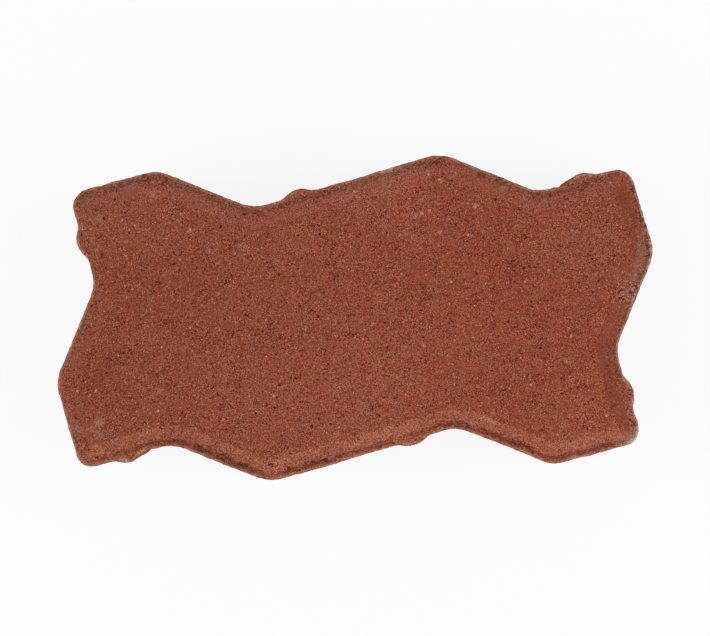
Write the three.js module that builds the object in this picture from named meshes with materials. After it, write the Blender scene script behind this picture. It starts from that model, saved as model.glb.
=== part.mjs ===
// Interlocking concrete paving stone, in millimetres, +Z up.
//
// One block of earth-moist concrete, pressed in a steel mould. The mould walls give the zigzag sides
// and the spacer nibs, and the shoe that presses the top gives the rim: a narrow lip left by the play
// between shoe and mould, a steep step, and a shallow slope that rolls over into the wearing face.
// The block lies on its bed face. The origin is the centre of the bed face, X runs along the length.

import * as THREE from 'three';
import { toCreasedNormals } from 'three/addons/utils/BufferGeometryUtils.js';

// ---------------------------------------------------------------- driving dimensions

// Rectangle of paving that one stone covers, its share of the joints included.
const MODULE_LENGTH = 225;
const MODULE_WIDTH = 112.5;
const JOINT_WIDTH = 4.1;

// Bed face to wearing face.
const STONE_HEIGHT = 60;

// Zigzag of the sides, about the sides of the module.
const ZIGZAG_DEPTH = 8.74;
const CORNER_RADIUS = 6.5;
const BEND_RADIUS = 16;

// Spacer nib: an upright rib of round section, from the bed face up to the lip.
const NIB_REACH = 2.2;
const NIB_TIP_RADIUS = 9.2;
const NIB_FOOT_RADIUS = 6;
// From a nib's middle to its trough, along a leg that starts at a corner and one that starts at a crest.
const NIB_TO_TROUGH_BY_CORNER = 16.6;
const NIB_TO_TROUGH_BY_CREST = 17.8;

// Rim of the wearing face, from the side inwards.
const LIP_WIDTH = 1.5;
const STEP_WIDTH = 1.6;
const STEP_HEIGHT = 3;
const SLOPE_WIDTH = 3;
const SLOPE_ANGLE = THREE.MathUtils.degToRad(18);
const ROLL_RADIUS = 10;

// Least radius of the shoe's corners, seen from above.
const SHOE_CORNER_RADIUS = 1.5;

// Through-coloured red concrete.
const CONCRETE_COLOUR = 0x8c4d3a;
const CONCRETE_ROUGHNESS = 0.92;

// ---------------------------------------------------------------- layout of the zigzag

// A bay is three pitches of a side. Walked anticlockwise it has a trough after one pitch and a crest
// after two, so like bays of neighbouring stones fit into each other on all four sides.
const PITCHES_PER_BAY = 3;
const BAYS_ALONG_LENGTH = 2;
const BAYS_ALONG_WIDTH = 1;

// Fineness of the curves.
const BEND_STEPS = 8;
const NIB_FOOT_STEPS = 3;
const NIB_TIP_STEPS = 8;
const ROLL_STEPS = 4;

const CREASE_ANGLE = THREE.MathUtils.degToRad(25);

// ---------------------------------------------------------------- sides

// Vertices of one side of the module, from its first corner up to its last crest.
function sideVertices(start, along, length, bays) {
  const outward = new THREE.Vector2(along.y, -along.x);
  const pitch = length / (bays * PITCHES_PER_BAY);
  const place = (pitches, depth) => start.clone()
    .addScaledVector(along, pitches * pitch)
    .addScaledVector(outward, depth);

  const vertices = [{ at: start, radius: CORNER_RADIUS, kind: 'corner' }];
  for (let bay = 0; bay < bays; bay++) {
    const before = bay * PITCHES_PER_BAY;
    vertices.push({ at: place(before + 1, -ZIGZAG_DEPTH), radius: BEND_RADIUS, kind: 'trough' });
    vertices.push({ at: place(before + 2, ZIGZAG_DEPTH), radius: BEND_RADIUS, kind: 'crest' });
  }
  return vertices;
}

// The module's whole outline, anticlockwise from its lower left corner.
function moduleVertices() {
  const x = MODULE_LENGTH / 2;
  const y = MODULE_WIDTH / 2;
  return [
    ...sideVertices(new THREE.Vector2(-x, -y), new THREE.Vector2(1, 0), MODULE_LENGTH, BAYS_ALONG_LENGTH),
    ...sideVertices(new THREE.Vector2(x, -y), new THREE.Vector2(0, 1), MODULE_WIDTH, BAYS_ALONG_WIDTH),
    ...sideVertices(new THREE.Vector2(x, y), new THREE.Vector2(-1, 0), MODULE_LENGTH, BAYS_ALONG_LENGTH),
    ...sideVertices(new THREE.Vector2(-x, y), new THREE.Vector2(0, -1), MODULE_WIDTH, BAYS_ALONG_WIDTH),
  ];
}

// Straight legs between the vertices. A leg that runs down into a trough carries a spacer nib.
function moduleLegs() {
  const vertices = moduleVertices();
  return vertices.map((from, i) => {
    const to = vertices[(i + 1) % vertices.length];
    const along = to.at.clone().sub(from.at).normalize();
    const nibToTrough = from.kind === 'corner' ? NIB_TO_TROUGH_BY_CORNER : NIB_TO_TROUGH_BY_CREST;
    return {
      from,
      to,
      along,
      outward: new THREE.Vector2(along.y, -along.x),
      hasNib: to.kind === 'trough',
      nibMiddle: from.at.distanceTo(to.at) - nibToTrough,
    };
  });
}

// ---------------------------------------------------------------- one level of the stone

// Rounded bend where two legs meet, both set back from the module by the same distance.
function bend(before, after, setback, inset) {
  const halfTurn = Math.atan2(before.along.cross(after.along), before.along.dot(after.along)) / 2;
  const isConvex = halfTurn > 0;
  const plain = before.to.radius;
  const radius = isConvex ? Math.max(plain - inset, SHOE_CORNER_RADIUS) : plain + inset;

  // Where the set-back legs would meet, and the centre of the arc that touches both.
  const middle = before.outward.clone().add(after.outward).normalize();
  const reach = (distance) => distance / Math.cos(halfTurn);
  const side = isConvex ? -1 : 1;
  const centre = before.to.at.clone()
    .addScaledVector(middle, -reach(setback) + side * reach(radius));

  const startAngle = before.outward.clone().multiplyScalar(-side).angle();
  const arc = new THREE.EllipseCurve(
    centre.x, centre.y, radius, radius, startAngle, startAngle + 2 * halfTurn, !isConvex,
  );
  return arc.getPoints(BEND_STEPS);
}

// Section of a nib: [distance along the leg from the nib's middle, reach beyond the leg].
// Two hollow feet lead from the leg onto a round tip.
function nibSection() {
  const tipDepth = NIB_TIP_RADIUS - NIB_REACH;
  const span = NIB_TIP_RADIUS + NIB_FOOT_RADIUS;
  const footRise = Math.acos((tipDepth + NIB_FOOT_RADIUS) / span);
  const footAt = span * Math.sin(footRise);

  const foot = new THREE.EllipseCurve(
    -footAt, NIB_FOOT_RADIUS, NIB_FOOT_RADIUS, NIB_FOOT_RADIUS, -Math.PI / 2, -Math.PI / 2 + footRise, false,
  ).getPoints(NIB_FOOT_STEPS);
  const tip = new THREE.EllipseCurve(
    0, -tipDepth, NIB_TIP_RADIUS, NIB_TIP_RADIUS, Math.PI / 2 + footRise, Math.PI / 2 - footRise, true,
  ).getPoints(NIB_TIP_STEPS);
  const farFoot = foot.map((p) => new THREE.Vector2(-p.x, p.y)).reverse();
  return [...foot, ...tip.slice(1, -1), ...farFoot];
}

const legs = moduleLegs();
const nib = nibSection();

// Closed outline at one level, set inside the sides. Every level has the same number of points in the
// same order. Where a leg's nib is left out, its points lie evenly on the straight between the bends.
function outline(inset, takesInNibs) {
  const setback = JOINT_WIDTH / 2 + inset;
  const bends = legs.map((leg, i) => bend(legs.at(i - 1), leg, setback, inset));

  return legs.flatMap((leg, i) => {
    if (!leg.hasNib) return bends[i];
    const start = bends[i].at(-1);
    const end = bends[(i + 1) % legs.length][0];
    const between = nib.map((p, k) => (takesInNibs
      ? leg.from.at.clone()
        .addScaledVector(leg.along, leg.nibMiddle + p.x)
        .addScaledVector(leg.outward, p.y - setback)
      : start.clone().lerp(end, (k + 1) / (nib.length + 1))));
    return [...bends[i], ...between];
  });
}

// ---------------------------------------------------------------- the stone

// Levels from the bed face up the side, over the lip, the step and the slope, and along the roll.
function stoneLevels() {
  const rollBottom = STONE_HEIGHT - ROLL_RADIUS * (1 - Math.cos(SLOPE_ANGLE));
  const stepTop = rollBottom - SLOPE_WIDTH * Math.tan(SLOPE_ANGLE);
  const lipTop = stepTop - STEP_HEIGHT;
  const stepInset = LIP_WIDTH + STEP_WIDTH;
  const faceInset = stepInset + SLOPE_WIDTH + ROLL_RADIUS * Math.sin(SLOPE_ANGLE);

  const levels = [
    { z: 0, points: outline(0, true) },
    { z: lipTop, points: outline(0, true) },
    { z: lipTop, points: outline(LIP_WIDTH, false) },
    { z: stepTop, points: outline(stepInset, false) },
  ];
  for (let step = 0; step <= ROLL_STEPS; step++) {
    const angle = SLOPE_ANGLE * (1 - step / ROLL_STEPS);
    const z = STONE_HEIGHT - ROLL_RADIUS * (1 - Math.cos(angle));
    levels.push({ z, points: outline(faceInset - ROLL_RADIUS * Math.sin(angle), false) });
  }
  return levels;
}

// Skin through levels of like point count, closed by a flat face at either end.
function loft(levels) {
  const count = levels[0].points.length;
  const vertices = levels.flatMap(({ z, points }) => points.map((p) => new THREE.Vector3(p.x, p.y, z)));
  const faces = [];

  for (let level = 0; level + 1 < levels.length; level++) {
    for (let i = 0; i < count; i++) {
      const a = level * count + i;
      const b = level * count + (i + 1) % count;
      faces.push([a, b, b + count], [a, b + count, a + count]);
    }
  }

  const top = (levels.length - 1) * count;
  THREE.ShapeUtils.triangulateShape(levels[0].points, [])
    .forEach(([a, b, c]) => faces.push([a, c, b]));
  THREE.ShapeUtils.triangulateShape(levels.at(-1).points, [])
    .forEach(([a, b, c]) => faces.push([top + a, top + b, top + c]));

  const geometry = new THREE.BufferGeometry().setFromPoints(vertices);
  geometry.setIndex(faces.flat());
  return toCreasedNormals(geometry, CREASE_ANGLE);
}

const stone = new THREE.Mesh(
  loft(stoneLevels()),
  new THREE.MeshStandardMaterial({
    color: CONCRETE_COLOUR, roughness: CONCRETE_ROUGHNESS, metalness: 0,
  }),
);
stone.name = 'paving_stone';

const part = new THREE.Group();
part.add(stone);

export default part;
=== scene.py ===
import math

import bpy
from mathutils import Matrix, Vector


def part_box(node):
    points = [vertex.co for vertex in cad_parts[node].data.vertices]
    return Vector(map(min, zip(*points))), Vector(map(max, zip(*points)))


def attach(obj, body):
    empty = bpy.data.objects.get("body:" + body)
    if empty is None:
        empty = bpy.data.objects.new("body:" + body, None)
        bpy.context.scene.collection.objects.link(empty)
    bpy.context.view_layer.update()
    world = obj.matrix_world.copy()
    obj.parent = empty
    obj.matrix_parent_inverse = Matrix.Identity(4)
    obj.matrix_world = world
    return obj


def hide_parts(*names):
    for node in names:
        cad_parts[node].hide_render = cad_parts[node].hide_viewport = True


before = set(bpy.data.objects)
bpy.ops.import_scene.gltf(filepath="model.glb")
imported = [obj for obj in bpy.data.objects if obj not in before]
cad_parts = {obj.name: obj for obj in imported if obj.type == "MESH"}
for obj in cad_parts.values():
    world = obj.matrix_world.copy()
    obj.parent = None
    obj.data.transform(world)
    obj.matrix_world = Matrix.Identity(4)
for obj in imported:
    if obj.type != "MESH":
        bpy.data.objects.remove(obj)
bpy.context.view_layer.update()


# ------------------------------------------------------------------ the paving stone
# One block of earth-moist red concrete, vibrated and pressed in a steel mould as a single piece.
# The mould gives the upright zigzag walls and the spacer nibs. The press shoe gives the wearing face
# and its rim, which is a lip, a steep step and a shallow slope.

MM = 0.001
SKIN_SPACING = 0.65 * MM
MERGE_DISTANCE = 0.001 * MM

# The rim, from the side inwards, in millimetres: widths, and depths below the wearing face.
LIP_WIDTH, STEP_WIDTH, SLOPE_WIDTH, ROLL_WIDTH = 1.5, 1.6, 3.0, 3.1
LIP_DEPTH, SLOPE_DEPTH, ROLL_DEPTH = 4.46, 1.46, 0.49
bed_level, face_level = (corner.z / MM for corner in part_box("paving_stone"))
lip_level = face_level - LIP_DEPTH
step_top = face_level - SLOPE_DEPTH
roll_foot = face_level - ROLL_DEPTH

# A copy of the plain solid, skinned finely enough to carry pores and wear.
bpy.ops.object.select_all(action="DESELECT")
stone = bpy.data.objects.new("pressed_stone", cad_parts["paving_stone"].data.copy())
bpy.context.scene.collection.objects.link(stone)
stone.select_set(True)
bpy.context.view_layer.objects.active = stone

bpy.ops.object.mode_set(mode="EDIT")
bpy.ops.mesh.select_all(action="SELECT")
bpy.ops.mesh.remove_doubles(threshold=MERGE_DISTANCE)
bpy.ops.object.mode_set(mode="OBJECT")

skin = stone.modifiers.new("skin", "REMESH")
skin.mode = "VOXEL"
skin.voxel_size = SKIN_SPACING
bpy.ops.object.modifier_apply(modifier=skin.name)


def add_node(tree, kind, sockets=None, **settings):
    """Adds a node, sets its properties, then sets or links its inputs by name or number."""
    node = tree.nodes.new(kind)
    for name, value in settings.items():
        setattr(node, name, value)
    for key, value in (sockets or {}).items():
        usable = [socket for socket in node.inputs if socket.enabled]
        target = usable[key] if isinstance(key, int) else next(s for s in usable if s.name == key)
        if isinstance(value, bpy.types.Node):
            value = next(socket for socket in value.outputs if socket.enabled)
        if isinstance(value, bpy.types.NodeSocket):
            tree.links.new(value, target)
        else:
            target.default_value = value
    return node


def patch_share(tree, place, centre, edge, core=0.0, strength=1.0, falloff="SMOOTHSTEP"):
    """How much a round patch marks the stone: nothing at its edge, and its full strength at its core."""
    gap = add_node(tree, "ShaderNodeVectorMath", {0: place, 1: centre}, operation="DISTANCE")
    return add_node(tree, "ShaderNodeMapRange", {
        "Value": gap, "From Min": edge, "From Max": core, "To Max": strength},
        interpolation_type=falloff)


relief = bpy.data.node_groups.new("pressed_relief", "GeometryNodeTree")
for in_out in ("INPUT", "OUTPUT"):
    relief.interface.new_socket("Geometry", in_out=in_out, socket_type="NodeSocketGeometry")
plain_skin = add_node(relief, "NodeGroupInput")
position = add_node(relief, "GeometryNodeInputPosition")
place = add_node(relief, "ShaderNodeVectorMath", {0: position, "Scale": 1 / MM}, operation="SCALE")
normal = add_node(relief, "GeometryNodeInputNormal")

# The skin leaves small teeth along the edges. They are evened out, which also rounds the edges a little.
mean_normal = add_node(relief, "GeometryNodeBlurAttribute", {"Value": normal, "Iterations": 2},
                       data_type="FLOAT_VECTOR")
flatness = add_node(relief, "ShaderNodeVectorMath", {0: mean_normal}, operation="LENGTH")
edge_share = add_node(relief, "ShaderNodeMapRange", {
    "Value": flatness.outputs["Value"], "From Min": 0.98, "From Max": 0.88})
even_place = add_node(relief, "GeometryNodeBlurAttribute", {
    "Value": position, "Iterations": 8, "Weight": edge_share}, data_type="FLOAT_VECTOR")
evened = add_node(relief, "GeometryNodeSetPosition", {"Geometry": plain_skin, "Position": even_place})

# Shares of the rim, from the level in the plain solid.
level = add_node(relief, "ShaderNodeSeparateXYZ", {0: place}).outputs["Z"]
above_bed, above_lip, below_face, below_arris = (
    add_node(relief, "ShaderNodeMapRange", {"Value": level, "From Min": none, "From Max": full})
    for none, full in (
        (0.3, 1.0), (lip_level + 0.05, lip_level + 0.25), (face_level - 0.01, face_level - 0.04),
        (lip_level - 0.1, lip_level - 0.3),
    )
)
on_rim = add_node(relief, "ShaderNodeMath", {0: above_lip, 1: below_face}, operation="MULTIPLY")

# The way that each point of the rim faces, seen from above.
lean = add_node(relief, "ShaderNodeVectorMath", {0: normal, 1: (1, 1, 0)}, operation="MULTIPLY")
outwards = add_node(relief, "ShaderNodeVectorMath", {0: lean}, operation="NORMALIZE")
facing = add_node(relief, "ShaderNodeVectorMath", {0: outwards, "Scale": on_rim}, operation="SCALE")
facing = add_node(relief, "GeometryNodeBlurAttribute", {"Value": facing, "Iterations": 3},
                  data_type="FLOAT_VECTOR")

# The side that each point of the rim, the lip and the walls belongs to. The top of the lip faces no
# side, so it takes it from the wall and the step beside it.
leaning = add_node(relief, "ShaderNodeVectorMath", {0: lean}, operation="LENGTH").outputs["Value"]
leaning = add_node(relief, "ShaderNodeMapRange", {"Value": leaning, "From Min": 0.05, "From Max": 0.2})
sided = add_node(relief, "ShaderNodeMath", {0: leaning, 1: above_bed}, operation="MULTIPLY")
sided = add_node(relief, "ShaderNodeMath", {0: sided, 1: below_face}, operation="MULTIPLY")
side = add_node(relief, "ShaderNodeVectorMath", {0: outwards, "Scale": sided}, operation="SCALE")
side = add_node(relief, "GeometryNodeBlurAttribute", {"Value": side, "Iterations": 4},
                data_type="FLOAT_VECTOR")
sidedness = add_node(relief, "ShaderNodeVectorMath", {0: side}, operation="LENGTH").outputs["Value"]
sidedness = add_node(relief, "ShaderNodeMapRange", {
    "Value": sidedness, "From Min": 0.05, "From Max": 0.35})
side = add_node(relief, "ShaderNodeVectorMath", {0: side}, operation="NORMALIZE")
side = add_node(relief, "ShaderNodeVectorMath", {0: side, "Scale": sidedness}, operation="SCALE")

# The arris of the lip: one on the walls, nothing on the rim, and half of it along the arris itself.
arris = add_node(relief, "GeometryNodeBlurAttribute", {"Value": below_arris, "Iterations": 3},
                 data_type="FLOAT")

# Every point keeps all of these, whatever moves it later.
marked = evened
for name, value, kind in (
    ("level", level, "FLOAT"), ("rim_facing", facing, "FLOAT_VECTOR"), ("side", side, "FLOAT_VECTOR"),
    ("arris", arris, "FLOAT"),
):
    marked = add_node(relief, "GeometryNodeStoreNamedAttribute", {
        "Geometry": marked, "Name": name, "Value": value}, data_type=kind, domain="POINT")
level, facing, side = (
    add_node(relief, "GeometryNodeInputNamedAttribute", {"Name": name}, data_type=kind)
    for name, kind in (("level", "FLOAT"), ("rim_facing", "FLOAT_VECTOR"), ("side", "FLOAT_VECTOR"))
)
facing_axes = add_node(relief, "ShaderNodeSeparateXYZ", {0: facing})
on_right, on_far = (
    add_node(relief, "ShaderNodeMapRange", {
        "Value": facing_axes.outputs[axis], "From Min": none, "From Max": full},
        interpolation_type="SMOOTHSTEP")
    for axis, none, full in (("X", 0.45, 0.85), ("Y", 0.2, 0.8))
)

# The shoe sat a little to the left, so the right end has a wide lip and one plain steep slope.
RIGHT_LIP_WIDTH, RIGHT_SLOPE_END = 2.6, 8.6
inset = 0.0
for foot, head, width in (
    (lip_level, step_top, STEP_WIDTH), (step_top, roll_foot, SLOPE_WIDTH),
    (roll_foot, face_level, ROLL_WIDTH),
):
    part = add_node(relief, "ShaderNodeMapRange", {
        "Value": level, "From Min": foot, "From Max": head, "To Max": width})
    inset = add_node(relief, "ShaderNodeMath", {0: inset, 1: part}, operation="ADD")
inset = add_node(relief, "ShaderNodeMath", {0: inset, 1: LIP_WIDTH}, operation="ADD")
steep_level = add_node(relief, "ShaderNodeMapRange", {
    "Value": inset, "From Min": RIGHT_LIP_WIDTH, "From Max": RIGHT_SLOPE_END,
    "To Min": lip_level, "To Max": face_level})
drop = add_node(relief, "ShaderNodeMath", {0: steep_level, 1: level}, operation="SUBTRACT")
drop = add_node(relief, "ShaderNodeMath", {0: drop, 1: on_right}, operation="MULTIPLY")
drop = add_node(relief, "ShaderNodeMath", {0: drop, 1: MM}, operation="MULTIPLY")
drop = add_node(relief, "ShaderNodeCombineXYZ", {"Z": drop})
reshaped = add_node(relief, "GeometryNodeSetPosition", {"Geometry": marked, "Offset": drop})

# The shoe's edge is worn round along the far long side, so the step there is softer. Behind the
# near side's second nib, and at its first crest, the step is nearly filled with concrete: place and
# radius of each filling.
WORN_SOFTNESS = 0.55
FILLED_STEPS = ((17.5, -48.5, 10.0), (-38.0, -59.5, 6.0))
softness = add_node(relief, "ShaderNodeMapRange", {
    "Value": level, "From Min": lip_level + 0.1, "From Max": lip_level + 0.8})
softness = add_node(relief, "ShaderNodeMath", {0: softness, 1: on_far}, operation="MULTIPLY")
softness = add_node(relief, "ShaderNodeMath", {0: softness, 1: WORN_SOFTNESS}, operation="MULTIPLY")
for x, y, radius in FILLED_STEPS:
    filling = patch_share(relief, place, (x, y, lip_level + 1.5), radius, radius * 0.4, falloff="LINEAR")
    softness = add_node(relief, "ShaderNodeMath", {0: softness, 1: filling}, operation="MAXIMUM")
rounded = add_node(relief, "GeometryNodeBlurAttribute", {
    "Value": position, "Iterations": 12, "Weight": softness}, data_type="FLOAT_VECTOR")
softened = add_node(relief, "GeometryNodeSetPosition", {"Geometry": reshaped, "Position": rounded})

# Concrete crept up round the shoe by uneven amounts, so the rim wanders in and out a little.
WANDER_SIZE, WANDER_REACH = 5.0, 2.2
wander = add_node(relief, "ShaderNodeTexNoise", {
    "Vector": place, "Scale": 1 / WANDER_SIZE, "Detail": 3.0, "Roughness": 0.6})
wander = add_node(relief, "ShaderNodeMath", {0: wander, 1: 0.5}, operation="SUBTRACT")
wander = add_node(relief, "ShaderNodeMath", {0: wander, 1: WANDER_REACH * MM}, operation="MULTIPLY")
wander = add_node(relief, "ShaderNodeVectorMath", {0: facing, "Scale": wander}, operation="SCALE")
wandering = add_node(relief, "GeometryNodeSetPosition", {"Geometry": softened, "Offset": wander})

# Here and there a side swelled or shrank as the fresh stone left the mould, from nothing at the bed to
# most at the lip: place, radius and reach.
SWELLS = (
    (-107.5, 47.0, 9, -0.42), (-103.5, 24.5, 13, -0.36), (-111.5, -4.0, 7, 0.18),
    (-117.0, -16.0, 10, 0.38), (-115.0, -35.0, 12, 0.20), (-111.0, -50.0, 7, 0.28),
    (-86.2, -49.0, 6, -0.62), (-30.2, -61.1, 6, -0.22), (-14.0, -57.0, 8, 0.34),
    (17.5, -51.4, 7, -0.22), (32.5, -46.8, 9, -0.36), (58.0, -55.0, 14, -0.28),
    (82.0, -61.3, 9, -0.56), (107.5, -52.0, 8, 0.44), (107.3, -45.0, 5, 0.20),
    (102.9, -25.4, 6, 0.20), (116.8, 18.0, 14, 0.32), (107.0, 52.3, 7, -0.34),
    (96.3, 51.0, 5, 0.15), (86.0, 48.7, 5.5, -0.42), (78.0, 47.3, 15, -0.30), (4.0, 55.0, 7, -0.24),
    (-29.9, 47.2, 6, -0.17), (-80.5, 61.3, 6, -0.28), (-100.0, 56.3, 13, 0.20),
)
plan_place = add_node(relief, "ShaderNodeVectorMath", {0: place, 1: (1, 1, 0)}, operation="MULTIPLY")
swelling = 0.0
for x, y, radius, reach in SWELLS:
    part = patch_share(relief, plan_place, (x, y, 0), radius, radius * 0.3, reach * MM)
    swelling = add_node(relief, "ShaderNodeMath", {0: part, 1: swelling}, operation="ADD")
rise = add_node(relief, "ShaderNodeMapRange", {"Value": level, "From Max": lip_level})
swelling = add_node(relief, "ShaderNodeMath", {0: swelling, 1: rise}, operation="MULTIPLY")
swelling = add_node(relief, "ShaderNodeVectorMath", {0: side, "Scale": swelling}, operation="SCALE")
swollen = add_node(relief, "GeometryNodeSetPosition", {"Geometry": wandering, "Offset": swelling})

# Shares of the surface, from 0 to 1: the flat face, the walls below the lip, and the lip's arris.
on_face, on_wall, up_to_lip, below_step = (
    add_node(relief, "ShaderNodeMapRange", {"Value": level, "From Min": none, "From Max": full})
    for none, full in (
        (face_level - 0.4, face_level - 0.05), (lip_level - 0.4, lip_level - 1.6),
        (lip_level - 1.6, lip_level - 0.2), (step_top + 0.2, step_top - 1.0),
    )
)
on_lip = add_node(relief, "ShaderNodeMath", {0: up_to_lip, 1: below_step}, operation="MULTIPLY")

# Heights in millimetres: each pattern's size, then its reach on slope, face, walls and lip.
height = 0.0
for size, detail, slope_reach, face_reach, wall_reach, lip_reach in (
    (1.7, 2.0, 0.10, 0.12, 0.60, 1.10),
    (4.0, 2.0, 0.06, 0.08, 0.35, 0.60),
    (22.0, 1.0, 0.25, 0.25, 0.40, 0.30),
):
    pattern = add_node(relief, "ShaderNodeTexNoise", {
        "Vector": place, "Scale": 1 / size, "Detail": detail, "Roughness": 0.6})
    swing = add_node(relief, "ShaderNodeMath", {0: pattern, 1: 0.5}, operation="SUBTRACT")
    reach = slope_reach
    for share, full in ((on_face, face_reach), (on_wall, wall_reach), (on_lip, lip_reach)):
        reach = add_node(relief, "ShaderNodeMath", {0: share, 1: full - slope_reach, 2: reach},
                         operation="MULTIPLY_ADD")
    part = add_node(relief, "ShaderNodeMath", {0: swing, 1: reach}, operation="MULTIPLY")
    height = add_node(relief, "ShaderNodeMath", {0: height, 1: part}, operation="ADD")

# Upright drag marks on the walls: fine across the wall, long up it, and only in places.
DRAG_WIDTH, DRAG_LENGTH, DRAG_REACH = 1.5, 26.0, 0.30
DRAGGED_SIZE = 14.0
dragged = add_node(relief, "ShaderNodeTexNoise", {
    "Vector": place, "Scale": 1 / DRAGGED_SIZE, "Detail": 2.0})
dragged = add_node(relief, "ShaderNodeMapRange", {"Value": dragged, "From Min": 0.42, "From Max": 0.62})
dragged = add_node(relief, "ShaderNodeMath", {0: dragged, 1: on_wall}, operation="MULTIPLY")
drag_place = add_node(relief, "ShaderNodeVectorMath", {
    0: place, 1: (1 / DRAG_WIDTH, 1 / DRAG_WIDTH, 1 / DRAG_LENGTH)}, operation="MULTIPLY")
drag = add_node(relief, "ShaderNodeTexNoise", {"Vector": drag_place, "Scale": 1.0, "Detail": 2.0})
drag = add_node(relief, "ShaderNodeMath", {0: drag, 1: 0.5}, operation="SUBTRACT")
drag = add_node(relief, "ShaderNodeMath", {0: drag, 1: DRAG_REACH}, operation="MULTIPLY")
drag = add_node(relief, "ShaderNodeMath", {0: drag, 1: dragged}, operation="MULTIPLY")
height = add_node(relief, "ShaderNodeMath", {0: height, 1: drag}, operation="ADD")

# Pores: one crumbly hollow in some cells of a cell pattern. Cell size, share of cells, greatest
# radius, depth.
CRUMBLE_SIZE, CRUMBLE_REACH = 2.2, 3.0
crumble = add_node(relief, "ShaderNodeTexNoise", {
    "Vector": place, "Scale": 1 / CRUMBLE_SIZE, "Detail": 2.0})
crumble = add_node(relief, "ShaderNodeVectorMath", {
    0: crumble.outputs["Color"], 1: [CRUMBLE_REACH] * 3, 2: place}, operation="MULTIPLY_ADD")
hollow = 0.0
for cell, share, radius, depth, where in (
    (3.2, 0.20, 1.3, 0.40, on_face),
    (9.0, 0.55, 4.2, 1.5, on_wall),
    (4.3, 0.50, 2.4, 1.1, on_wall),
    (2.4, 0.40, 1.4, 0.7, on_wall),
):
    cells = add_node(relief, "ShaderNodeTexVoronoi", {"Vector": crumble, "Scale": 1 / cell})
    chance = add_node(relief, "ShaderNodeSeparateXYZ", {0: cells.outputs["Color"]})
    chosen = add_node(relief, "ShaderNodeMath", {0: chance, 1: share}, operation="LESS_THAN")
    span = add_node(relief, "ShaderNodeMapRange", {
        "Value": chance.outputs["Y"], "To Min": 0.35 * radius / cell, "To Max": radius / cell})
    pore = add_node(relief, "ShaderNodeMapRange", {
        "Value": cells.outputs["Distance"], "From Min": span, "From Max": 0.0, "To Max": -depth},
        interpolation_type="SMOOTHSTEP")
    for part in (chosen, where):
        pore = add_node(relief, "ShaderNodeMath", {0: pore, 1: part}, operation="MULTIPLY")
    hollow = add_node(relief, "ShaderNodeMath", {0: hollow, 1: pore}, operation="ADD")

# Chips and pits from handling: where each is in millimetres, its radius and its depth.
CHIPS = (
    (14.1, 56.5, lip_level, 1.8, 0.5), (17.2, 57.3, lip_level, 1.8, 0.5), (24.1, 59.0, lip_level, 1.8, 0.7),
    (-94.2, -51.2, lip_level, 2.0, 0.8), (81.5, -61.0, lip_level, 2.2, 0.6),
    (108.6, -51.5, lip_level, 5.0, 0.2), (-106.6, 54.6, lip_level, 5.0, 0.8),
    (113.0, 45.4, lip_level, 1.8, 0.8), (60.3, 51.6, lip_level, 1.6, 0.6),
    (-79.8, 60.9, lip_level, 1.4, 0.5), (117.3, 23.7, lip_level, 1.6, 0.5),
    (116.6, 17.0, lip_level, 1.6, 0.5), (109.2, 3.7, lip_level + 1, 2.0, 0.7),
    (106.1, 7.0, face_level, 1.2, 0.5), (107.5, 0.8, face_level, 1.3, 0.5),
    (-39.6, -60.4, lip_level, 2.4, 0.7),
    (-84.5, 21.6, face_level, 1.3, 0.5), (-89.2, 21.1, face_level, 1.0, 0.4),
    (-85.4, 18.5, face_level, 1.0, 0.4), (-93.9, 9.1, face_level, 1.2, 0.4),
    (-63.6, 39.7, face_level, 1.0, 0.5), (-74.9, -31.0, face_level, 1.1, 0.5),
    (45.0, 39.7, face_level, 0.9, 0.4), (28.5, -41.3, face_level, 1.2, 0.4),
    (-71.0, -30.8, face_level, 0.9, 0.4), (-95.2, -0.3, face_level, 1.1, 0.45),
)
for x, y, z, radius, depth in CHIPS:
    centre = [at + CRUMBLE_REACH / 2 for at in (x, y, z)]
    chip = patch_share(relief, crumble, centre, radius, strength=-depth)
    hollow = add_node(relief, "ShaderNodeMath", {0: hollow, 1: chip}, operation="ADD")
pitted = add_node(relief, "GeometryNodeStoreNamedAttribute", {
    "Geometry": swollen, "Name": "hollow", "Value": hollow}, data_type="FLOAT", domain="POINT")
hollow = add_node(relief, "GeometryNodeInputNamedAttribute", {"Name": "hollow"}, data_type="FLOAT")

height = add_node(relief, "ShaderNodeMath", {0: height, 1: hollow}, operation="ADD")
height = add_node(relief, "ShaderNodeMath", {0: height, 1: MM}, operation="MULTIPLY")
offset = add_node(relief, "ShaderNodeVectorMath", {0: normal, "Scale": height}, operation="SCALE")
raised = add_node(relief, "GeometryNodeSetPosition", {"Geometry": pitted, "Offset": offset})

# The bed face only loses material, so the stone still lies flat.
laid_place = add_node(relief, "ShaderNodeVectorMath", {0: position, 1: (-1, -1, bed_level * MM)},
                      operation="MAXIMUM")
laid = add_node(relief, "GeometryNodeSetPosition", {"Geometry": raised, "Position": laid_place})
add_node(relief, "NodeGroupOutput", {"Geometry": laid})

surface = stone.modifiers.new("surface", "NODES")
surface.node_group = relief
bpy.ops.object.modifier_apply(modifier=surface.name)

# The rim keeps every face. The bed, the walls and the wearing face keep a share, each between two levels.
bpy.ops.object.mode_set(mode="EDIT")
bpy.ops.mesh.select_mode(type="FACE")
bpy.ops.object.mode_set(mode="OBJECT")
for lowest, highest, kept_share in (
    (-1.0, 0.3, 0.08), (0.3, lip_level - 1.5, 0.36), (face_level - 0.3, face_level + 1.0, 0.5),
):
    bpy.ops.object.mode_set(mode="EDIT")
    bpy.ops.mesh.select_all(action="DESELECT")
    bpy.ops.object.mode_set(mode="OBJECT")
    for face in stone.data.polygons:
        face.select = lowest * MM < face.center.z < highest * MM
    bpy.ops.object.mode_set(mode="EDIT")
    bpy.ops.mesh.decimate(ratio=kept_share)
    bpy.ops.object.mode_set(mode="OBJECT")

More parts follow.
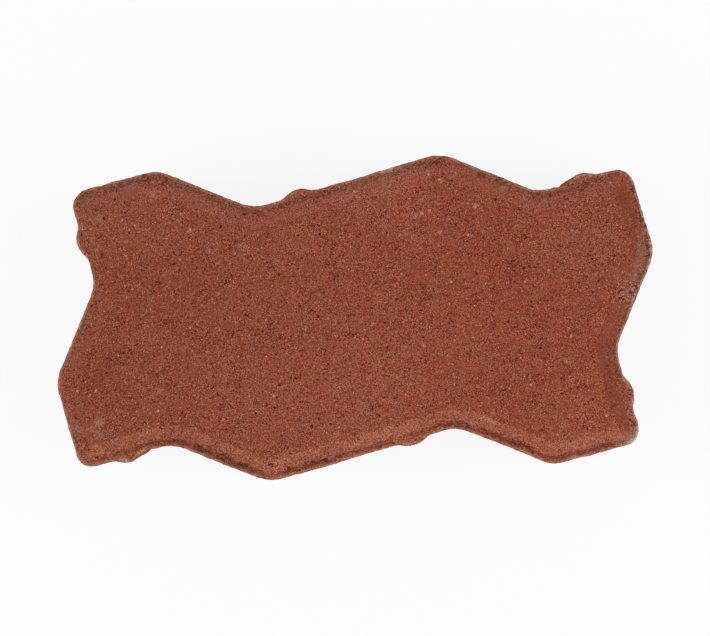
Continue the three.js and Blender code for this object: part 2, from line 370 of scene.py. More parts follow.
# Thinning may leave a flap that hangs on one edge. It is cut off.
bpy.ops.object.mode_set(mode="EDIT")
bpy.ops.mesh.select_mode(type="EDGE")
bpy.ops.mesh.select_all(action="DESELECT")
bpy.ops.mesh.select_non_manifold(use_wire=False, use_multi_face=False, use_non_contiguous=False)
bpy.ops.mesh.delete(type="EDGE")

# It may also leave a point a little below the bed face, so those are put back on it.
bpy.ops.mesh.select_mode(type="VERT")
bpy.ops.mesh.select_all(action="DESELECT")
bpy.ops.object.mode_set(mode="OBJECT")
for vertex in stone.data.vertices:
    vertex.select = vertex.co.z < bed_level * MM
bpy.ops.object.mode_set(mode="EDIT")
bpy.ops.transform.resize(value=(1, 1, 0), center_override=(0, 0, bed_level * MM))
bpy.ops.object.mode_set(mode="OBJECT")
bpy.ops.object.shade_smooth_by_angle(angle=math.radians(50))

# Pressed concrete, coloured right through with iron oxide. It is matt, and the eye sees packed sand:
# proud grains in pale brick red, dark pores between them whose darkness is painted shade, and slopes that
# the shoe left smoother.


def linear(hex_colour):
    """An sRGB hex colour as linear red, green, blue and alpha."""
    channels = [int(hex_colour[i:i + 2], 16) / 255 for i in (1, 3, 5)]
    return [c / 12.92 if c <= 0.04045 else ((c + 0.055) / 1.055) ** 2.4 for c in channels] + [1.0]


# From the painted shade on the floor of a pore to a clean quartz grain.
GRAIN_AND_PORE_SHADE_COLOURS = (
    (0.00, "#521000"), (0.25, "#752A0F"), (0.50, "#954C34"), (0.75, "#B37159"), (1.00, "#D29881"),
)
# Stones of the core under thin red paste: dark, brown and buff.
STONE_COLOURS = (
    (0.00, "#55362A"), (0.30, "#8A5F4A"), (0.60, "#A88068"), (0.85, "#B89A80"), (1.00, "#7A4A36"),
)
CLOUD_RED, CLOUD_BROWN = "#FDEFE1", "#F3F6F1"
MEAN_TONE = 0.526
CONCRETE_IOR = 1.5
CONCRETE_ROUGHNESS = 0.93
CONCRETE_SPECULAR = 0.25

concrete = bpy.data.materials.new("pressed_red_concrete")
concrete.use_nodes = True
finish = concrete.node_tree
finish.nodes.clear()
object_place = add_node(finish, "ShaderNodeTexCoord").outputs["Object"]
place = add_node(finish, "ShaderNodeVectorMath", {0: object_place, "Scale": 1 / MM}, operation="SCALE")

# What varies from place to place: its size in millimetres, its detail and its roughness.
ragged, packing, mottle, pores, dragged, smear, clouds, hole_shade, rubbed_and_halo, blotches = (
    add_node(finish, "ShaderNodeTexNoise", {
        "Vector": place, "Scale": 1 / size, "Detail": detail, "Roughness": roughness})
    for size, detail, roughness in (
        (2.2, 3.0, 0.6),  # ragged edges
        (1.3, 2.0, 0.6),  # packing, open in some places and closed in others
        (5.0, 2.0, 0.5),  # mottling from uneven mixing
        (1.0, 1.0, 0.5),  # open pores between the grains
        (DRAGGED_SIZE, 2.0, 0.5),  # places with drag marks
        (9.0, 1.0, 0.5),  # strength of the grain
        (6.0, 3.0, 0.6),  # clouds of red and brown
        (1.7, 3.0, 0.75),  # holes in the torn step
        (5.0, 4.0, 0.5),  # rubbing of the arris
        (1.2, 3.0, 0.65),  # edges of the spots
    )
)
# What the concrete is packed with: the distance in millimetres from one grain or stone to the next.
grains, crumbs, core_sand, coarse_sand, stones = (
    add_node(finish, "ShaderNodeTexVoronoi", {"Vector": place, "Scale": 1 / spacing})
    for spacing in (0.33, 0.8, 1.6, 2.4, 6.0)
)
# Three chances for every grain or stone, from 0 to 1.
grain_chance, crumb_chance, core_chance, coarse_chance, stone_chance = (
    add_node(finish, "ShaderNodeSeparateXYZ", {0: cells.outputs["Color"]})
    for cells in (grains, crumbs, core_sand, coarse_sand, stones)
)

# Shares of the surface, from the side that it belongs to and the level in the plain solid.
side = add_node(finish, "ShaderNodeAttribute", attribute_name="side").outputs["Vector"]
side_axes = add_node(finish, "ShaderNodeSeparateXYZ", {0: side})
near_share, far_share, right_share, left_share = (
    add_node(finish, "ShaderNodeMapRange", {
        "Value": side_axes.outputs[axis], "From Min": none, "From Max": full})
    for axis, none, full in (("Y", -0.2, -0.8), ("Y", 0.2, 0.8), ("X", 0.4, 0.8), ("X", -0.4, -0.8))
)
RAGGED_REACH = 4.0
level = add_node(finish, "ShaderNodeAttribute", attribute_name="level").outputs["Fac"]
ragged_level = add_node(finish, "ShaderNodeMath", {
    0: ragged, 1: RAGGED_REACH, 2: -RAGGED_REACH / 2}, operation="MULTIPLY_ADD")
ragged_level = add_node(finish, "ShaderNodeMath", {0: ragged_level, 1: level}, operation="ADD")
# The near step lies in painted shade, deeper where it is torn open, and the step is wider there: place,
# radius and depth of each.
SHADED_TORN_STEPS = (
    (-92, -48, 8, 0.20), (-78, -44, 9, 0.34), (-67, -46, 9, 0.46), (-56, -51, 10, 0.56),
    (-48, -56, 8, 0.52), (-28, -57, 7, 0.40), (-16, -56, 12, 0.50), (5, -52, 8, 0.32),
    (36, -44, 11, 0.42), (51, -49, 10, 0.38), (62, -55, 10, 0.46), (75, -60, 8, 0.30),
    (93, -56, 9, 0.40), (86, -59, 6, 0.32),
)
# The whole near step has at least this much painted shade.
LEAST_STEP_SHADE = 0.05
torn_shade = LEAST_STEP_SHADE
for x, y, radius, depth in SHADED_TORN_STEPS:
    part = patch_share(finish, place, (x, y, lip_level), radius, radius * 0.4, depth)
    torn_shade = add_node(finish, "ShaderNodeMath", {0: part, 1: torn_shade}, operation="MAXIMUM")
torn_level = add_node(finish, "ShaderNodeMath", {0: torn_shade, 1: -1.0, 2: ragged_level},
                      operation="MULTIPLY_ADD")
step_foot, step_head, slope_foot, slope_head, wall_share, above_bed = (
    add_node(finish, "ShaderNodeMapRange", {"Value": at_level, "From Min": none, "From Max": full})
    for at_level, none, full in (
        (ragged_level, lip_level - 0.3, lip_level + 0.7), (torn_level, step_top + 0.5, step_top - 0.7),
        (level, step_top - 0.4, step_top + 0.2), (level, face_level - 0.005, face_level - 0.1),
        (level, lip_level - 0.3, lip_level - 1.5), (level, 0.1, 0.6),
    )
)
lip_share = add_node(finish, "ShaderNodeMath", {0: 1.0, 1: step_foot}, operation="SUBTRACT")
step_share, slope_share, upright_share = (
    add_node(finish, "ShaderNodeMath", {0: lower, 1: upper}, operation="MULTIPLY")
    for lower, upper in ((step_foot, step_head), (slope_foot, slope_head), (above_bed, wall_share))
)

# The finest sand has a dark gap round each grain, and open pores gather where the mottling is dark.
# The darkness of these gaps and pores is painted shade.
crown = add_node(finish, "ShaderNodeMapRange", {
    "Value": grains.outputs["Distance"], "From Min": 0.7, "From Max": 0.1})
pores = add_node(finish, "ShaderNodeMath", {0: mottle, 1: 0.6, 2: pores}, operation="MULTIPLY_ADD")
shaded_pore_share = add_node(finish, "ShaderNodeMapRange", {
    "Value": pores, "From Min": 0.595, "From Max": 0.565})
# One fine grain in seventy is clean quartz, and one in forty is black. Of the coarse grains some are
# pale, and some have fallen out and left a void, whose darkness is painted shade.
coarse_gap = add_node(finish, "ShaderNodeMath", {0: ragged, 1: 0.3, 2: coarse_sand.outputs["Distance"]},
                      operation="MULTIPLY_ADD")
coarse_spot = add_node(finish, "ShaderNodeMapRange", {
    "Value": coarse_gap, "From Min": 0.40, "From Max": 0.30})
quartz_share, black_share, is_pale, is_void = (
    add_node(finish, "ShaderNodeMath", {0: chance, 1: limit}, operation=comparison)
    for chance, limit, comparison in (
        (grain_chance.outputs["Y"], 0.986, "GREATER_THAN"), (grain_chance.outputs["Y"], 0.025, "LESS_THAN"),
        (coarse_chance.outputs["X"], 0.035, "LESS_THAN"), (coarse_chance.outputs["X"], 0.94, "GREATER_THAN"),
    )
)
pale_share, shaded_void_share = (
    add_node(finish, "ShaderNodeMath", {0: coarse_spot, 1: chosen}, operation="MULTIPLY")
    for chosen in (is_pale, is_void)
)
# Loose crumbs along the lip and the step, and on one patch with a ragged edge beside the right crest.
CRUMBLY_PATCH, PATCH_EDGE, PATCH_CORE = (108.2, 3.8, 59), 9.4, 7.4
crumb_tone = add_node(finish, "ShaderNodeMath", {0: crumb_chance.outputs["X"], 1: 0.5},
                      operation="SUBTRACT")
crumb_share = add_node(finish, "ShaderNodeMath", {0: lip_share, 1: step_share}, operation="MAXIMUM")
gap = add_node(finish, "ShaderNodeVectorMath", {0: place, 1: CRUMBLY_PATCH}, operation="DISTANCE")
gap = add_node(finish, "ShaderNodeMath", {0: ragged, 1: 6.0, 2: gap}, operation="MULTIPLY_ADD")
part = add_node(finish, "ShaderNodeMapRange", {
    "Value": gap, "From Min": PATCH_EDGE, "From Max": PATCH_CORE, "To Max": 4.2})
crumb_share = add_node(finish, "ShaderNodeMath", {0: crumb_share, 1: part}, operation="MAXIMUM")
crumb_tone = add_node(finish, "ShaderNodeMath", {0: crumb_tone, 1: crumb_share}, operation="MULTIPLY")
# Each pattern swings the tone about its own middle.
tone = 0.0
for pattern, swing, middle in (
    (grain_chance.outputs["X"], 0.51, 0.5), (crown, 0.26, 0.55), (packing, 0.03, 0.5),
    (shaded_pore_share, -0.52, 0.01), (quartz_share, 0.80, 0.01), (black_share, -0.84, 0.02),
    (pale_share, 0.56, 0.01), (shaded_void_share, -0.58, 0.01), (mottle, 0.08, 0.5), (crumb_tone, 0.30, 0.0),
):
    tone = add_node(finish, "ShaderNodeMath", {0: pattern, 1: swing, 2: tone},
                    operation="MULTIPLY_ADD")
    tone = add_node(finish, "ShaderNodeMath", {0: tone, 1: swing * middle}, operation="SUBTRACT")

# The walls show the coarser sand of the core and the mould's upright drag marks.
STREAK_LENGTH = 30
drag_place = add_node(finish, "ShaderNodeVectorMath", {
    0: place, 1: (1 / DRAG_WIDTH, 1 / DRAG_WIDTH, 1 / STREAK_LENGTH)}, operation="MULTIPLY")
drag = add_node(finish, "ShaderNodeTexNoise", {
    "Vector": drag_place, "Scale": 1.0, "Detail": 3.0, "Roughness": 0.6})
dragged = add_node(finish, "ShaderNodeMapRange", {"Value": dragged, "From Min": 0.42, "From Max": 0.62})
dragged = add_node(finish, "ShaderNodeMath", {0: dragged, 1: upright_share}, operation="MULTIPLY")
for pattern, swing, where in (
    (core_chance.outputs["X"], 0.22, wall_share), (drag, 0.40, dragged), (packing, 0.40, wall_share),
    (mottle, 0.20, wall_share),
):
    part = add_node(finish, "ShaderNodeMath", {0: pattern, 1: 0.5}, operation="SUBTRACT")
    part = add_node(finish, "ShaderNodeMath", {0: part, 1: where}, operation="MULTIPLY")
    tone = add_node(finish, "ShaderNodeMath", {0: part, 1: swing, 2: tone}, operation="MULTIPLY_ADD")

# Broad areas that are a little lighter or darker: place, radius and change of tone.
AREAS = (
    (-99, 17, 26, -0.04), (-106, -18, 20, -0.05), (-62, 14, 22, -0.03), (0, -33, 34, 0.05),
    (51, 27, 20, -0.02), (88, -50, 24, 0.06), (-40, -30, 24, 0.03), (-40, 44, 24, 0.01),
    (8, 56, 22, 0.08), (-82, 46, 22, 0.02), (-74, -48, 13, -0.10), (-50, -60, 10, -0.05),
    (105, -38, 13, 0.04), (88, 22, 18, 0.03), (112, 42, 12, -0.05), (93, -58, 10, -0.03),
    (-106, 38, 12, 0.03), (36, -12, 16, 0.03), (21, 57, 13, 0.045), (29, -43, 8, -0.045),
    (50, -43, 8, 0.045), (-10, -55, 8, -0.04), (-30, -55, 9, 0.03), (-20, 33, 10, 0.03),
    (27, 33, 10, 0.02), (64, 11, 12, -0.03), (10, -33, 10, 0.02),
    (100, -40, 7, -0.07), (98, -53, 8, -0.035), (-90, -45, 7, -0.045),
)
for x, y, radius, change in AREAS:
    part = patch_share(finish, place, (x, y, face_level), radius * 1.3, strength=change)
    tone = add_node(finish, "ShaderNodeMath", {0: tone, 1: part}, operation="ADD")

# The grain is stronger in some places than in others. The shoe smears the slopes, so their grain is
# fainter, most of all at the right end.
smear = add_node(finish, "ShaderNodeMapRange", {
    "Value": smear, "From Min": 0.32, "From Max": 0.68, "To Min": 0.78, "To Max": 1.22})
for band, fading in ((far_share, -0.20), (right_share, -0.40), (left_share, -0.12)):
    part = add_node(finish, "ShaderNodeMath", {0: slope_share, 1: band}, operation="MULTIPLY")
    smear = add_node(finish, "ShaderNodeMath", {0: part, 1: fading, 2: smear},
                     operation="MULTIPLY_ADD")
tone = add_node(finish, "ShaderNodeMath", {0: tone, 1: smear, 2: MEAN_TONE}, operation="MULTIPLY_ADD")

# Slope, step and lip are lighter or darker by side, partly from the smoother finish that the shoe left
# and partly as painted light and shade: painted shade on the right slope, painted light on the right
# step, and a painted pale halo of light along the lips. The walls are a little darker.
for share, band, swing in (
    (slope_share, near_share, 0.13), (slope_share, far_share, 0.05), (slope_share, right_share, -0.07),
    (slope_share, left_share, 0.01), (step_share, near_share, 0.04), (step_share, far_share, 0.03),
    (step_share, right_share, 0.06), (step_share, left_share, 0.03),
    (lip_share, near_share, 0.14), (lip_share, far_share, 0.15), (lip_share, left_share, 0.05),
    (lip_share, right_share, 0.02), (upright_share, 1.0, -0.05),
):
    part = add_node(finish, "ShaderNodeMath", {0: share, 1: band}, operation="MULTIPLY")
    tone = add_node(finish, "ShaderNodeMath", {0: part, 1: swing, 2: tone}, operation="MULTIPLY_ADD")

ramp = add_node(finish, "ShaderNodeValToRGB", {"Fac": tone})
stone_ramp = add_node(finish, "ShaderNodeValToRGB", {"Fac": stone_chance.outputs["Z"]})
for stops, colours in (
    (ramp.color_ramp.elements, GRAIN_AND_PORE_SHADE_COLOURS), (stone_ramp.color_ramp.elements, STONE_COLOURS),
):
    for index, (at, colour) in enumerate(colours):
        stop = stops[index] if index < 2 else stops.new(at)
        stop.position = at
        stop.color = linear(colour)

# Clouds, a little more red or more brown. The left end, the far right corner and the rim are browner.
BROWN_CORNER, CORNER_EDGE, CORNER_CORE = (106, 28, 58), 36, 8
cloud_share = add_node(finish, "ShaderNodeMapRange", {
    "Value": clouds, "From Min": 0.32, "From Max": 0.68})
across = add_node(finish, "ShaderNodeSeparateXYZ", {0: place}).outputs["X"]
across = add_node(finish, "ShaderNodeMapRange", {
    "Value": across, "From Min": -110, "From Max": 60, "To Min": -0.26, "To Max": 0.30})
corner = patch_share(finish, place, BROWN_CORNER, CORNER_EDGE, CORNER_CORE, -0.40, "LINEAR")
on_rim = add_node(finish, "ShaderNodeVectorMath", {0: side}, operation="LENGTH").outputs["Value"]
for share, redder in (
    (across, 1.0), (corner, 1.0), (on_rim, -0.25), (near_share, 0.50), (far_share, 0.15),
    (right_share, -0.50),
):
    cloud_share = add_node(finish, "ShaderNodeMath", {0: share, 1: redder, 2: cloud_share},
                           operation="MULTIPLY_ADD")
cloud_tint = add_node(finish, "ShaderNodeMix", {
    "Factor": cloud_share, "A": linear(CLOUD_BROWN), "B": linear(CLOUD_RED)}, data_type="RGBA")
tinted = add_node(finish, "ShaderNodeMix", {
    "Factor": 1.0, "A": ramp.outputs["Color"], "B": cloud_tint}, data_type="RGBA",
    blend_type="MULTIPLY")
# The far slopes have a faint cool sheen, a painted reflection that makes their colour a little bluer.
painted_sheen = add_node(finish, "ShaderNodeMath", {0: far_share, 1: slope_share}, operation="MULTIPLY")
painted_sheen = add_node(finish, "ShaderNodeVectorMath", {0: (0, 0, 0.15), "Scale": painted_sheen}, operation="SCALE")
painted_sheen = add_node(finish, "ShaderNodeVectorMath", {0: painted_sheen, 1: (1, 1, 1)}, operation="ADD")
tinted = add_node(finish, "ShaderNodeVectorMath", {0: tinted, 1: painted_sheen}, operation="MULTIPLY")

# Painted shade: the torn step is darker, and most of all in its holes. Pits and voids are darker inside,
# also as painted shade.
hole_shade = add_node(finish, "ShaderNodeMapRange", {
    "Value": hole_shade, "From Min": 0.40, "From Max": 0.60, "To Min": 0.25, "To Max": 1.45})
shade = torn_shade
for part in (hole_shade, step_share, near_share):
    shade = add_node(finish, "ShaderNodeMath", {0: shade, 1: part}, operation="MULTIPLY")
hollow = add_node(finish, "ShaderNodeAttribute", attribute_name="hollow").outputs["Fac"]
pit_shade = add_node(finish, "ShaderNodeMapRange", {
    "Value": hollow, "From Min": -0.05, "From Max": -0.6, "To Max": 0.28})
shade = add_node(finish, "ShaderNodeMath", {0: shade, 1: pit_shade}, operation="MAXIMUM")
lit_share = add_node(finish, "ShaderNodeVectorMath", {
    0: shade, 1: (-0.93, -1.10, -1.22), 2: (1, 1, 1)}, operation="MULTIPLY_ADD")
tinted = add_node(finish, "ShaderNodeVectorMath", {0: tinted, 1: lit_share}, operation="MULTIPLY")

# Whatever lies on the concrete still shows its grains.
grain_light = add_node(finish, "ShaderNodeMapRange", {
    "Value": grain_chance.outputs["X"], "To Min": 0.6, "To Max": 1.4})

# Stones of the core show at the walls. Some are large, and their edges are ragged.
stone_reach = add_node(finish, "ShaderNodeMapRange", {
    "Value": stone_chance.outputs["X"], "From Min": 0.55, "From Max": 1.0, "To Max": 0.46})
stone_gap = add_node(finish, "ShaderNodeMath", {0: ragged, 1: 0.9, 2: stones.outputs["Distance"]},
                     operation="MULTIPLY_ADD")
stone_cover = add_node(finish, "ShaderNodeMath", {0: stone_reach, 1: stone_gap}, operation="SUBTRACT")
stone_cover = add_node(finish, "ShaderNodeMapRange", {
    "Value": stone_cover, "From Min": -0.44, "From Max": -0.34, "To Max": 0.55})
for part in (wall_share, stone_chance.outputs["Y"]):
    stone_cover = add_node(finish, "ShaderNodeMath", {0: stone_cover, 1: part}, operation="MULTIPLY")
stone_colour = add_node(finish, "ShaderNodeVectorMath", {
    0: stone_ramp.outputs["Color"], "Scale": grain_light}, operation="SCALE")
tinted = add_node(finish, "ShaderNodeMix", {
    "Factor": stone_cover, "A": tinted, "B": stone_colour}, data_type="RGBA")

# The arris is pale here and there, warmer on the near side: partly rubbed wear, and partly a painted pale
# halo of light along the edge.
PALE_ARRIS_AND_HALO, NEAR_ARRIS_AND_HALO = "#BA998D", "#C48E6A"
taken = add_node(finish, "ShaderNodeMapRange", {
    "Value": grain_chance.outputs["Z"], "From Min": 0.15, "From Max": 0.75, "To Min": 0.25})
arris = add_node(finish, "ShaderNodeAttribute", attribute_name="arris").outputs["Fac"]
arris = add_node(finish, "ShaderNodeMath", {0: ragged, 1: 0.8, 2: arris}, operation="MULTIPLY_ADD")
rubbed_and_halo = add_node(finish, "ShaderNodeMapRange", {
    "Value": rubbed_and_halo, "From Min": 0.44, "From Max": 0.60, "To Min": 0.25, "To Max": 1.0})
for none, full in ((0.62, 0.85), (1.35, 1.1)):
    part = add_node(finish, "ShaderNodeMapRange", {"Value": arris, "From Min": none, "From Max": full})
    rubbed_and_halo = add_node(finish, "ShaderNodeMath", {0: rubbed_and_halo, 1: part}, operation="MULTIPLY")
rubbed_and_halo = add_node(finish, "ShaderNodeMath", {0: rubbed_and_halo, 1: taken}, operation="MULTIPLY")
rubbed_and_halo_colour = add_node(finish, "ShaderNodeMix", {
    "Factor": near_share, "A": linear(PALE_ARRIS_AND_HALO), "B": linear(NEAR_ARRIS_AND_HALO)}, data_type="RGBA")
rubbed_and_halo_colour = add_node(finish, "ShaderNodeVectorMath", {0: rubbed_and_halo_colour, "Scale": grain_light},
                         operation="SCALE")
tinted = add_node(finish, "ShaderNodeMix", {
    "Factor": rubbed_and_halo, "A": tinted, "B": rubbed_and_halo_colour}, data_type="RGBA")

# Spots of lime bloom, grey film and dark dirt: place, radius, colour and cover of each. The cover takes
# to some grains and not to others.
LIME, GREY_FILM, PALE_PASTE, DIRT = "#D2C2AE", "#A07A69", "#B98672", "#4A3028"
SPOTS = (
    (14.0, 57.2, lip_level, 1.5, LIME, 1.0), (16.9, 58.0, lip_level, 1.7, LIME, 1.0),
    (-94.2, -51.8, lip_level, 1.8, "#C0BCA0", 1.0), (83.0, -61.0, lip_level, 1.5, LIME, 0.8),
    (80.2, -61.8, lip_level, 1.3, LIME, 0.7), (109.6, -48.7, lip_level, 1.6, "#C8C0A6", 0.9),
    (109.6, -51.7, lip_level, 2.3, "#C8C0A6", 1.0), (108.0, -54.3, lip_level, 2.5, "#C8C0A6", 1.0),
    (105.0, -55.8, lip_level, 2.1, "#C6B8A2", 0.9), (101.7, -57.0, lip_level, 1.5, "#C6B8A2", 0.8),
    (118.3, 23.4, lip_level, 1.2, "#C8BCA8", 1.0), (118.6, 20.0, lip_level, 1.3, "#C8BCA8", 1.0),
    (118.0, 16.4, lip_level, 1.3, "#C8BCA8", 0.9), (116.9, 13.0, lip_level, 1.1, "#C4B09E", 0.7),
    (112.9, 37.7, lip_level + 3, 2.4, GREY_FILM, 0.2), (114.4, 25.8, lip_level + 2, 2.6, GREY_FILM, 0.4),
    (114.2, 21.9, lip_level + 2, 2.6, GREY_FILM, 0.45), (113.7, 18.0, lip_level + 2, 2.7, GREY_FILM, 0.5),
    (112.6, 14.1, lip_level + 2, 2.7, GREY_FILM, 0.5), (110.6, 9.5, lip_level + 2, 2.6, GREY_FILM, 0.5),
    (108.4, 4.0, lip_level + 2, 3.2, "#B08E7C", 0.35), (106.2, -22.0, lip_level + 2, 3.0, GREY_FILM, 0.4),
    (107.0, -27.0, lip_level + 2, 3.0, GREY_FILM, 0.3), (106.6, -50.6, lip_level + 1, 2.6, GREY_FILM, 0.4),
    (104.2, -53.2, lip_level + 2, 2.6, GREY_FILM, 0.4), (100.6, -54.2, lip_level + 2, 2.4, GREY_FILM, 0.3),
    (115.9, 25.3, lip_level, 0.8, DIRT, 0.8), (115.3, 22.6, lip_level + 1, 0.8, DIRT, 0.8),
    (113.9, 11.3, lip_level, 0.9, DIRT, 0.8), (112.8, 9.5, lip_level, 0.9, DIRT, 0.8),
    (106.1, 7.0, face_level, 0.9, DIRT, 0.9), (107.7, 0.6, face_level - 1, 1.0, DIRT, 0.9),
    (110.8, 5.9, lip_level + 1, 0.9, DIRT, 0.8), (107.6, 4.6, face_level - 1, 0.9, "#CDB49C", 1.0),
    (109.9, 2.0, lip_level + 1, 0.9, "#CDB49C", 1.0), (106.4, 2.8, face_level, 0.8, "#CDB49C", 1.0),
    (24.1, 59.5, lip_level, 1.6, "#6E5C52", 0.8), (60.3, 51.8, lip_level, 1.7, "#5A5650", 1.0),
    (38.4, 61.4, lip_level, 1.5, DIRT, 0.7), (-79.8, 61.2, lip_level, 1.5, DIRT, 0.9),
    (117.0, 20.9, lip_level, 0.8, DIRT, 0.8), (116.4, 17.2, lip_level, 0.9, DIRT, 0.8),
    (109.1, 3.7, lip_level + 1, 0.8, "#4A2018", 0.9), (112.9, 33.2, lip_level + 1, 0.8, DIRT, 0.7),
    (114.5, 31.4, lip_level + 1, 0.8, DIRT, 0.8), (116.1, 29.6, lip_level, 0.8, DIRT, 0.7),
    (52.9, 53.0, step_top, 1.6, DIRT, 0.5), (45.8, 53.4, face_level, 1.4, DIRT, 0.4),
    (-91.5, 57.6, step_top, 1.8, DIRT, 0.5), (-104.0, 51.5, face_level, 1.6, DIRT, 0.4),
    (49.4, 41.0, face_level, 1.0, "#C0A894", 0.8), (28.7, 44.2, face_level, 1.4, "#A58575", 0.5),
    (35.1, 31.6, face_level, 1.1, PALE_PASTE, 0.8), (46.4, 29.8, face_level, 0.9, "#CC8E7C", 0.8),
    (60.8, 47.4, face_level, 1.8, "#A58575", 0.5), (-111.5, -37.1, face_level, 1.8, "#A89282", 0.6),
    (-102.3, -34.9, face_level, 1.9, PALE_PASTE, 0.55), (-105.6, -37.1, face_level, 1.6, PALE_PASTE, 0.5),
    (-102.6, -40.0, face_level, 2.3, "#A58575", 0.55), (42.9, -43.7, step_top, 1.7, "#AE9080", 0.6),
    (-62.6, 38.0, face_level, 1.2, PALE_PASTE, 0.7), (-76.4, 53.0, face_level, 2.0, PALE_PASTE, 0.45),
    (-97.8, 44.0, face_level, 1.4, PALE_PASTE, 0.45), (-42.6, 30.6, face_level, 1.8, "#A58575", 0.45),
    (-85.2, 56.7, step_top, 2.2, "#8A6A58", 0.4),
    (26.2, 38.6, face_level, 0.8, "#D0AC98", 0.8), (28.4, 39.3, face_level, 0.8, "#D0AC98", 0.8),
    (31.2, 40.1, face_level, 0.8, "#D09C88", 0.9), (43.0, 54.4, face_level, 0.8, "#D8B8A4", 0.8),
    (31.7, 54.6, face_level, 0.8, LIME, 0.8),
    (36.6, 51.2, face_level, 0.8, PALE_PASTE, 0.9), (-12.0, -54.5, step_top, 1.8, "#9A8070", 0.6),
    (19.0, -50.5, step_top, 2.6, "#9E7868", 0.6), (26.2, -12.4, face_level, 0.9, PALE_PASTE, 0.9),
    (52.8, -10.0, face_level, 0.8, PALE_PASTE, 0.8), (81.6, -21.9, face_level, 0.9, PALE_PASTE, 0.9),
    (35.8, -16.9, face_level, 0.8, PALE_PASTE, 0.9), (-55.2, 29.7, face_level, 0.9, "#A58575", 0.6),
    (-77.7, -24.1, face_level, 0.9, "#A58575", 0.7), (-10.4, 13.9, face_level, 1.3, "#9C3E28", 0.6),
)
BLOTCH_REACH = 3.6
blotch_place = add_node(finish, "ShaderNodeVectorMath", {
    0: blotches.outputs["Color"], 1: [BLOTCH_REACH] * 3, 2: place}, operation="MULTIPLY_ADD")
for x, y, z, radius, colour, cover in SPOTS:
    centre = [at + BLOTCH_REACH / 2 for at in (x, y, z)]
    part = patch_share(finish, blotch_place, centre, radius * 1.3, radius * 0.5, cover, "LINEAR")
    part = add_node(finish, "ShaderNodeMath", {0: part, 1: taken}, operation="MULTIPLY")
    grainy_colour = add_node(finish, "ShaderNodeVectorMath", {
        0: linear(colour)[:3], "Scale": grain_light}, operation="SCALE")
    tinted = add_node(finish, "ShaderNodeMix", {
        "Factor": part, "A": tinted, "B": grainy_colour}, data_type="RGBA")

GRAIN_RELIEF = 0.12 * MM
bump_height = add_node(finish, "ShaderNodeMath", {0: crown, 1: tone}, operation="ADD")
bump = add_node(finish, "ShaderNodeBump", {
    "Height": bump_height, "Strength": 0.6, "Distance": GRAIN_RELIEF})
shader = add_node(finish, "ShaderNodeBsdfPrincipled", {
    "Base Color": tinted, "Normal": bump, "Roughness": CONCRETE_ROUGHNESS, "IOR": CONCRETE_IOR,
    "Specular IOR Level": CONCRETE_SPECULAR})
add_node(finish, "ShaderNodeOutputMaterial", {"Surface": shader})

stone.data.materials.clear()
stone.data.materials.append(concrete)
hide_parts("paving_stone")
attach(stone, "root")


# ------------------------------------------------------------------ the table
# A plain matt white table top that the stone lies on. It keeps the stone's shadow, and the camera
# and reflections see part of it as plain white.

TABLE_SIDE = 16.0
TABLE_WHITE = "#F4F4F4"
SHOWN_WHITE = 0.88

bpy.ops.object.select_all(action="DESELECT")
bpy.ops.mesh.primitive_plane_add(size=TABLE_SIDE)
table = bpy.context.object
table.name = "table_top"
matt_paint = bpy.data.materials.new("matt_white_paint")
matt_paint.use_nodes = True
paint = matt_paint.node_tree
paint.nodes.clear()
ray = add_node(paint, "ShaderNodeLightPath")
seen = add_node(paint, "ShaderNodeMath", {
    0: ray.outputs["Is Camera Ray"], 1: ray.outputs["Is Glossy Ray"]}, operation="MAXIMUM")
seen = add_node(paint, "ShaderNodeMath", {
    0: seen, 1: ray.outputs["Is Transmission Ray"]}, operation="MAXIMUM")
white_share = add_node(paint, "ShaderNodeMath", {0: seen, 1: SHOWN_WHITE}, operation="MULTIPLY")
lit = add_node(paint, "ShaderNodeBsdfDiffuse", {"Color": linear(TABLE_WHITE)})
white = add_node(paint, "ShaderNodeEmission", {"Strength": 1.0})
both = add_node(paint, "ShaderNodeMixShader", {"Fac": white_share, 1: lit, 2: white})
add_node(paint, "ShaderNodeOutputMaterial", {"Surface": both})
table.data.materials.append(matt_paint)


# ------------------------------------------------------------------ the light
# A white room, and two large soft boxes that hang over the stone's ends and are about equally strong.
# Each box is square, and its light comes from 37 degrees above the table.

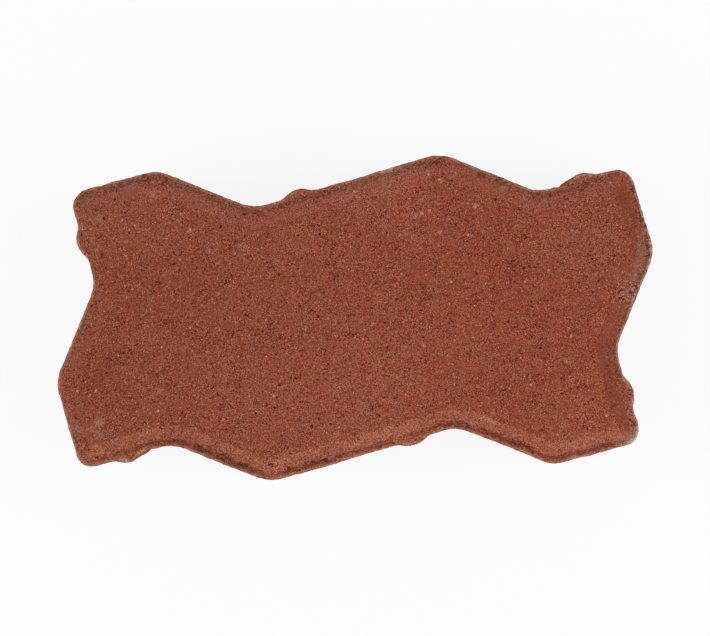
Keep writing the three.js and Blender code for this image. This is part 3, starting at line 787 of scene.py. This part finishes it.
ROOM_LIGHT = 0.38
world = bpy.data.worlds.new("studio")
bpy.context.scene.world = world
world.use_nodes = True
sky = world.node_tree
sky.nodes.clear()
ray = add_node(sky, "ShaderNodeLightPath")
seen = add_node(sky, "ShaderNodeMath", {
    0: ray.outputs["Is Camera Ray"], 1: ray.outputs["Is Transmission Ray"]}, operation="MAXIMUM")
strength = add_node(sky, "ShaderNodeMapRange", {"Value": seen, "To Min": ROOM_LIGHT, "To Max": 1.0})
room = add_node(sky, "ShaderNodeBackground", {"Color": (1, 1, 1, 1), "Strength": strength})
add_node(sky, "ShaderNodeOutputWorld", {"Surface": room})

# Each box: where it hangs, the side of its square, and its share of the light on the face.
for name, hung_at, box_side, share in (
    ("left_box", (-1.1, -0.15, 0.85), 0.8, 0.30),
    ("right_box", (1.1, -0.15, 0.85), 0.8, 0.32),
):
    lamp = bpy.data.lights.new(name, "AREA")
    lamp.shape = "SQUARE"
    lamp.size = box_side
    away = Vector(hung_at)
    slant = away.z / away.length
    lamp.energy = math.pi ** 2 * away.length_squared * share / slant
    holder = bpy.data.objects.new(name, lamp)
    holder.location = away
    holder.rotation_euler = away.to_track_quat("Z", "Y").to_euler()
    holder.visible_camera = False
    bpy.context.scene.collection.objects.link(holder)


# ------------------------------------------------------------------ the camera
# A long lens straight above the wearing face, turned a little about its own axis. The stone's centre
# is given in the frame's own pixels, which run to the right and down.

FRAME_WIDTH, FRAME_HEIGHT = 710, 636
PIXELS_PER_MM = 2.5425
STONE_TURN = math.radians(3.315)
STONE_CENTRE = (355.1, 317.86)
SENSOR_WIDTH, LENS = 36.0, 150.0

lens = bpy.data.cameras.new("overhead_camera")
lens.sensor_width = SENSOR_WIDTH
lens.lens = LENS
camera = bpy.data.objects.new("overhead_camera", lens)
bpy.context.scene.collection.objects.link(camera)
bpy.context.scene.camera = camera
right = Vector((math.cos(STONE_TURN), -math.sin(STONE_TURN), 0))
up = Vector((math.sin(STONE_TURN), math.cos(STONE_TURN), 0))
across = (FRAME_WIDTH / 2 - STONE_CENTRE[0]) / PIXELS_PER_MM
along = (STONE_CENTRE[1] - FRAME_HEIGHT / 2) / PIXELS_PER_MM
height_above_lip = LENS * FRAME_WIDTH / (SENSOR_WIDTH * PIXELS_PER_MM)
camera.location = (right * across + up * along) * MM
camera.location.z = (lip_level + height_above_lip) * MM
camera.rotation_euler = (0, 0, -STONE_TURN)

bpy.context.scene.view_settings.view_transform = "Standard"
